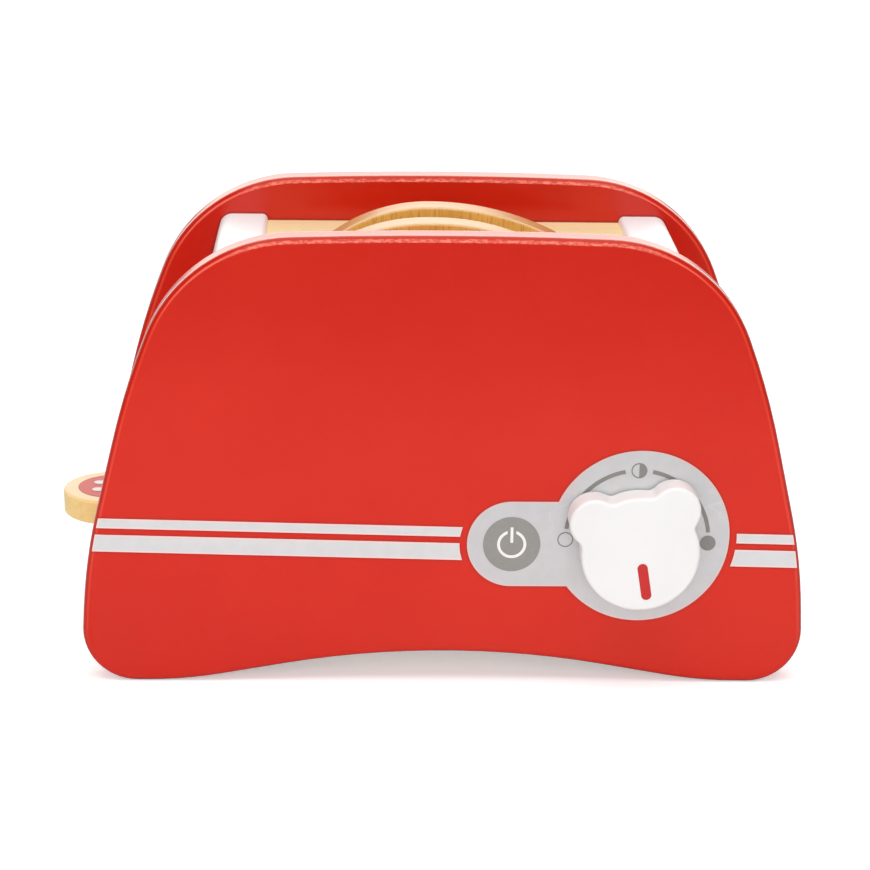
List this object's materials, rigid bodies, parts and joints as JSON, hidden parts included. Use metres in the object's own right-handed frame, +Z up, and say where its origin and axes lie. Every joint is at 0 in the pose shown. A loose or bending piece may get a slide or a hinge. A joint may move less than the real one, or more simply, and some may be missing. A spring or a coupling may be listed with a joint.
{
  "type": "wooden toy toaster",
  "caption": "Wooden play toaster with red shaped side panels: pressing the side lever raises a platform that lifts the bread slices, and the dial knob turns.",
  "frame": {"origin": "bottom centre of the whole part's box, on the surface it stands on", "axes": "+X to the part's right seen from its front, away from the lever; +Y from the front panel to the back panel; +Z up"},
  "size_m": [0.2243, 0.0998, 0.1373],
  "materials": {
    "red_paint": "smooth gloss red paint on fibreboard",
    "white_paint": "smooth satin white paint",
    "plate_wood": "pale clear-lacquered wood",
    "lever_wood": "pale clear-lacquered wood with a fine grain",
    "bread_wood": "golden toasted wood with a fine upright fleck",
    "board_wood": "bare sanded plywood",
    "dowel_wood": "bare turned beech",
    "steel": "zinc-plated",
    "silver_film": "smooth silver-grey film",
    "white_print": "pale printed film",
    "grey_print": "printed grey ink",
    "badge_red": "printed muted red ink",
    "pointer_red": "red inlay",
    "felt": "dark grey felt",
    "fibre_washer": "natural nylon"
  },
  "bodies": {
    "case": {"axle_sleeves": "dowel_wood", "back_chute_wall": "board_wood", "back_panel": "red_paint", "back_panel_dowels": "dowel_wood", "base_board": "board_wood", "base_screws": "steel", "button_print": "grey_print", "dial_foil": "silver_film", "front_chute_wall": "board_wood", "front_panel": "red_paint", "front_panel_dowels": "dowel_wood", "left_end_board": "white_paint", "left_guide_rod": "dowel_wood", "left_top_cleat": "board_wood", "lever_axle": "steel", "lower_left_stripe": "white_print", "lower_right_stripe": "white_print", "power_print": "white_print", "rest_block": "board_wood", "rest_felt": "felt", "right_end_board": "white_paint", "right_guide_rod": "dowel_wood", "right_top_cleat": "board_wood", "scale_print": "grey_print", "slice_divider": "board_wood", "top_plate": "plate_wood", "upper_left_stripe": "white_print", "upper_right_stripe": "white_print"},
    "lever": {"lever_paddle": "lever_wood", "lift_bar": "dowel_wood", "lift_bar_screws": "steel", "lever_badge": "badge_red", "lever_badge_bars": "white_print"},
    "platform": {"lift_platform": "board_wood"},
    "front_slice": {"front_bread_slice": "bread_wood"},
    "back_slice": {"back_bread_slice": "bread_wood"},
    "knob": {"knob_head": "white_paint", "knob_pointer": "pointer_red", "knob_axle": "dowel_wood", "knob_washer": "fibre_washer", "knob_keeper": "steel", "knob_screw": "steel"}
  },
  "joints": [
    {"name": "lever_press", "type": "hinge", "parent": "case", "child": "lever", "pos_m": [-0.05943, 0.00495, 0.04255], "axis": [0, -1, 0], "range_deg": [0, 18]},
    {"name": "platform_lift", "type": "slide", "parent": "case", "child": "platform", "axis": [0, 0, 1], "range_m": [0, 0.0204]},
    {"name": "front_slice_lift_out", "type": "slide", "parent": "platform", "child": "front_slice", "axis": [0, 0, 1], "range_m": [0, 0.09]},
    {"name": "back_slice_lift_out", "type": "slide", "parent": "platform", "child": "back_slice", "axis": [0, 0, 1], "range_m": [0, 0.09]},
    {"name": "knob_turn", "type": "hinge", "parent": "case", "child": "knob", "pos_m": [0.06123, -0.04005, 0.046], "axis": [0, 1, 0], "continuous": true}
  ],
  "couplings": [
    {"joint": "platform_lift", "follows": "lever_press", "m_per_rad": 0.064906}
  ]
}
